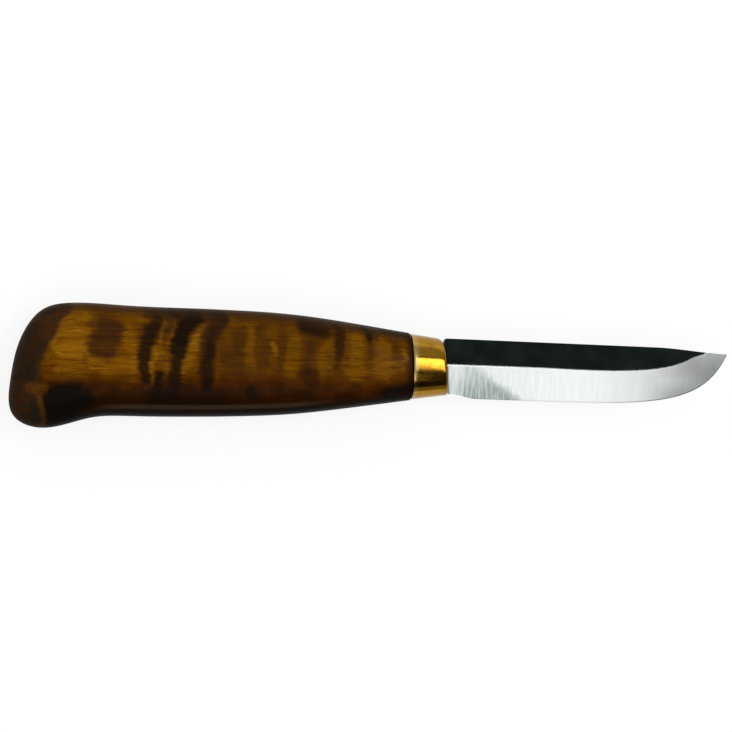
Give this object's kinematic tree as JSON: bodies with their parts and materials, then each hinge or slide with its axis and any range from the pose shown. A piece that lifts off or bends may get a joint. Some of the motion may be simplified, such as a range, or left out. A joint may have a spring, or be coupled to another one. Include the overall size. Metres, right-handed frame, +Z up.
{
  "type": "puukko knife",
  "caption": "Fixed-blade knife with a short wide-bevel blade, a tapered brass ferrule and a curly birch handle with a beaked butt, for carving and camp work.",
  "frame": {"origin": "on the surface the knife lies on, under the middle of its overall box", "axes": "+X towards the tip, +Y towards the spine, +Z up through the handle's thickness"},
  "size_m": [0.1968, 0.0344, 0.0198],
  "materials": {
    "forged_steel": "black forge scale on the flats, spine and tang; bright ground bevels with fine cross lines",
    "brass": "polished, lightly worn and pitted",
    "curly_birch": "stained curly figure under glossy varnish",
    "cured_adhesive": "clear amber resin"
  },
  "bodies": {
    "root": {"blade": "forged_steel", "ferrule": "brass", "handle": "curly_birch", "tang_adhesive": "cured_adhesive"}
  },
  "joints": []
}
